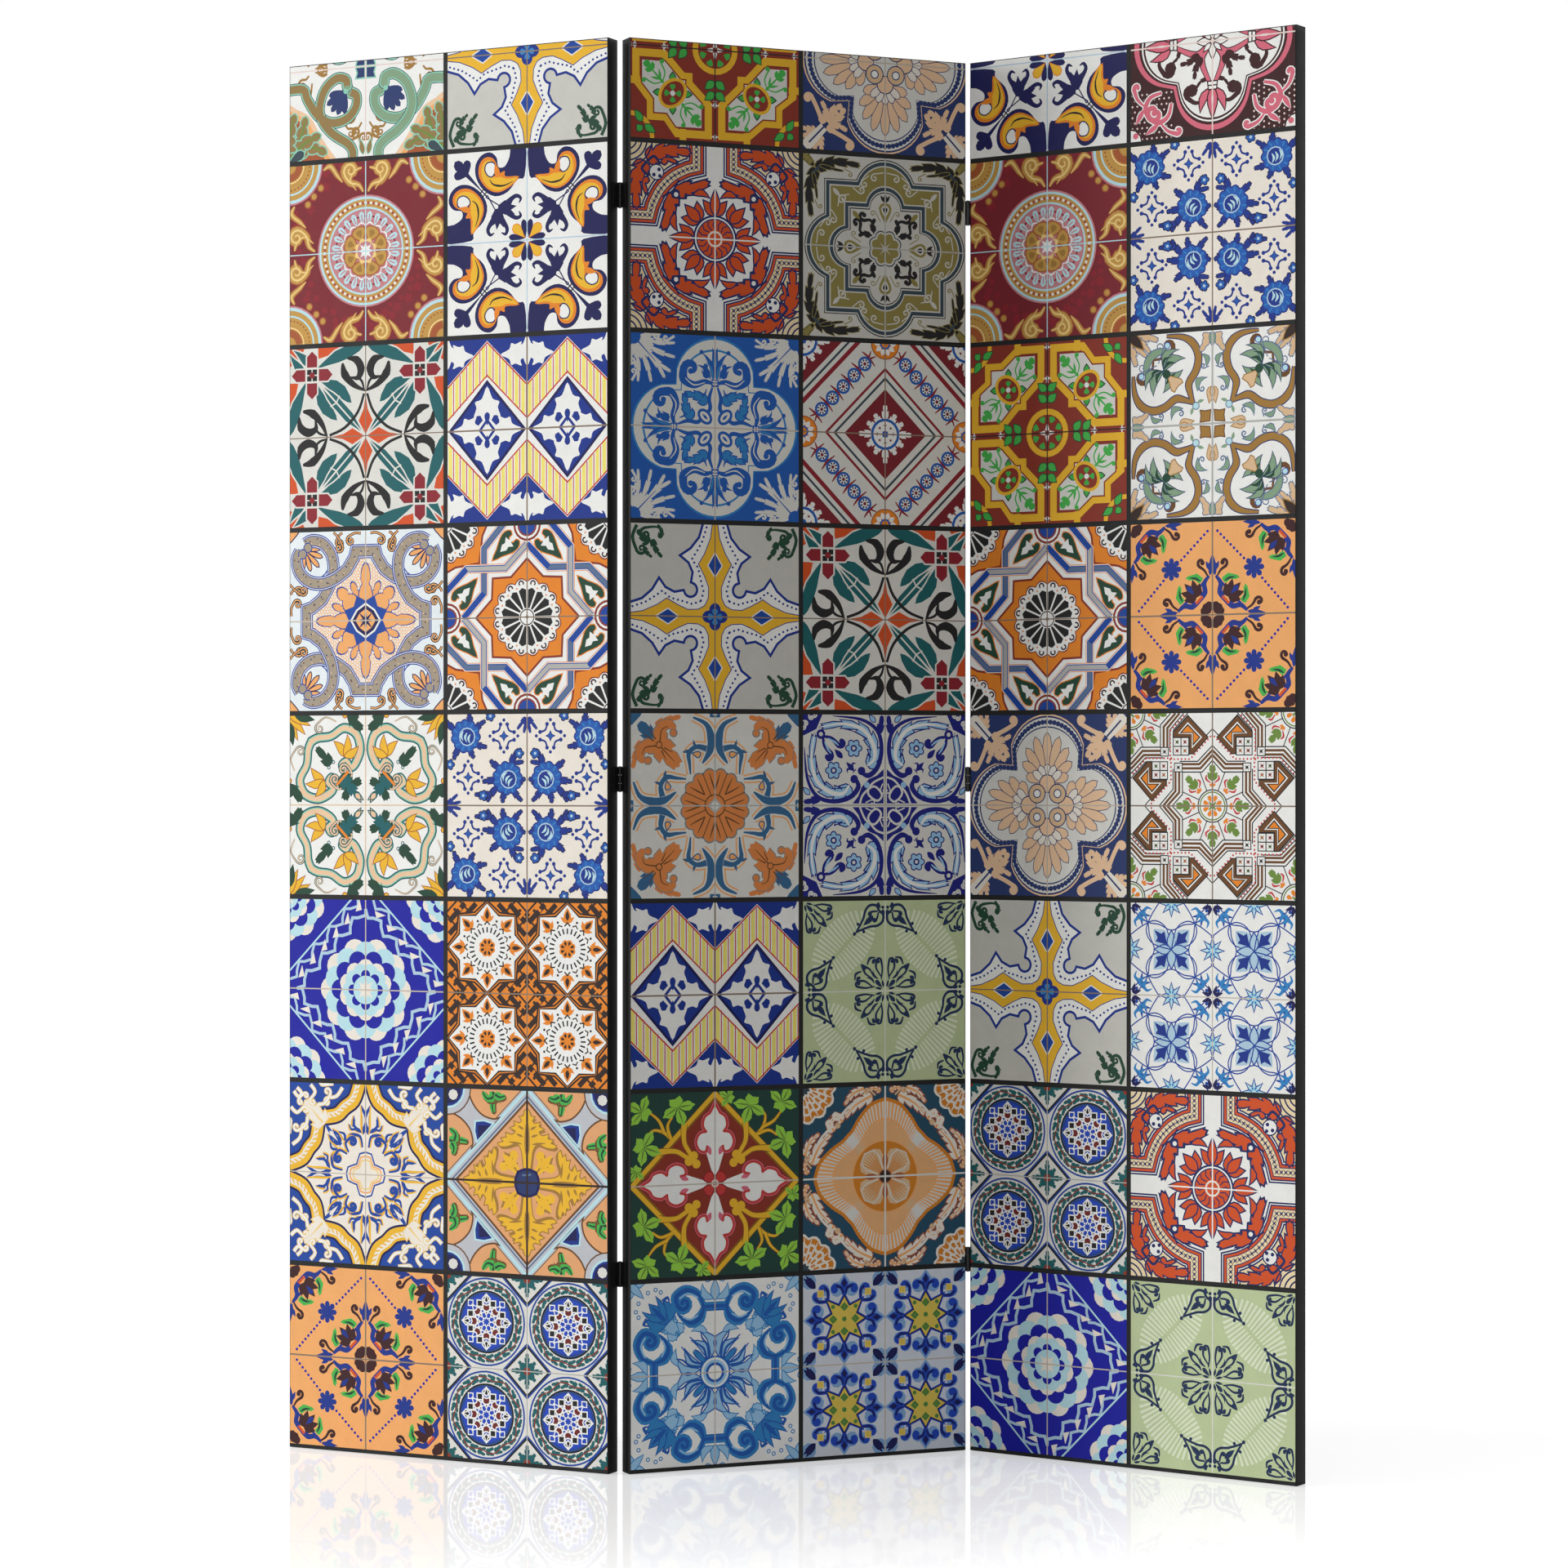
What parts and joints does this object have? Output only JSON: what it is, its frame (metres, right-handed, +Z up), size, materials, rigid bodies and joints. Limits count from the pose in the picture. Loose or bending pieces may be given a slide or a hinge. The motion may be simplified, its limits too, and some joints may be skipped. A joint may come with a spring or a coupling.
{
  "type": "folding screen",
  "caption": "Folding room divider with tall stretched-canvas panels printed with a patchwork of patterned ceramic tiles, hinged to stand in a zigzag and pack flat.",
  "frame": {"origin": "centre of the middle panel's bottom face, on the floor", "axes": "+X along the middle panel to the viewer's right, -Y out of the middle panel's printed front, +Z up"},
  "size_m": [1.0221, 0.7586, 1.72],
  "materials": {
    "printed_canvas": "printed matt canvas, black sides",
    "backing_cloth": "matt black non-woven cloth",
    "pine": "planed, unvarnished",
    "beech_dowel": "plain",
    "hinge_steel": "black lacquer",
    "pin_steel": "black lacquer",
    "black_screw": "black oxide",
    "staple_steel": "zinc plated"
  },
  "bodies": {
    "left_panel": {"left_left_stile": "pine", "left_right_stile": "pine", "left_bottom_rail": "pine", "left_top_rail": "pine", "left_lower_crossbar": "pine", "left_upper_crossbar": "pine", "left_dowels": "beech_dowel", "left_corner_nails": "staple_steel", "left_canvas": "printed_canvas", "left_canvas_staples": "staple_steel", "left_backing_cloth": "backing_cloth", "left_backing_staples": "staple_steel", "left_screws": "black_screw", "left_low_hinge_side_leaf": "hinge_steel", "left_low_hinge_pin": "pin_steel", "left_middle_hinge_side_leaf": "hinge_steel", "left_middle_hinge_pin": "pin_steel", "left_top_hinge_side_leaf": "hinge_steel", "left_top_hinge_pin": "pin_steel"},
    "middle_panel": {"middle_left_stile": "pine", "middle_right_stile": "pine", "middle_bottom_rail": "pine", "middle_top_rail": "pine", "middle_lower_crossbar": "pine", "middle_upper_crossbar": "pine", "middle_dowels": "beech_dowel", "middle_corner_nails": "staple_steel", "middle_canvas": "printed_canvas", "middle_canvas_staples": "staple_steel", "middle_backing_cloth": "backing_cloth", "middle_backing_staples": "staple_steel", "middle_screws": "black_screw", "left_low_hinge_centre_leaf": "hinge_steel", "left_middle_hinge_centre_leaf": "hinge_steel", "left_top_hinge_centre_leaf": "hinge_steel", "right_low_hinge_centre_leaf": "hinge_steel", "right_middle_hinge_centre_leaf": "hinge_steel", "right_top_hinge_centre_leaf": "hinge_steel"},
    "right_panel": {"right_left_stile": "pine", "right_right_stile": "pine", "right_bottom_rail": "pine", "right_top_rail": "pine", "right_lower_crossbar": "pine", "right_upper_crossbar": "pine", "right_dowels": "beech_dowel", "right_corner_nails": "staple_steel", "right_canvas": "printed_canvas", "right_canvas_staples": "staple_steel", "right_backing_cloth": "backing_cloth", "right_backing_staples": "staple_steel", "right_screws": "black_screw", "right_low_hinge_side_leaf": "hinge_steel", "right_low_hinge_pin": "pin_steel", "right_middle_hinge_side_leaf": "hinge_steel", "right_middle_hinge_pin": "pin_steel", "right_top_hinge_side_leaf": "hinge_steel", "right_top_hinge_pin": "pin_steel"}
  },
  "joints": [
    {"name": "left_fold", "type": "hinge", "parent": "middle_panel", "child": "left_panel", "pos_m": [-0.2272, 0.0137, 0.832], "axis": [0, 0, 1], "range_deg": [-130, 56]},
    {"name": "right_fold", "type": "hinge", "parent": "middle_panel", "child": "right_panel", "pos_m": [0.2272, -0.0137, 0.832], "axis": [0, 0, 1], "range_deg": [-121.3, 64.7]}
  ]
}
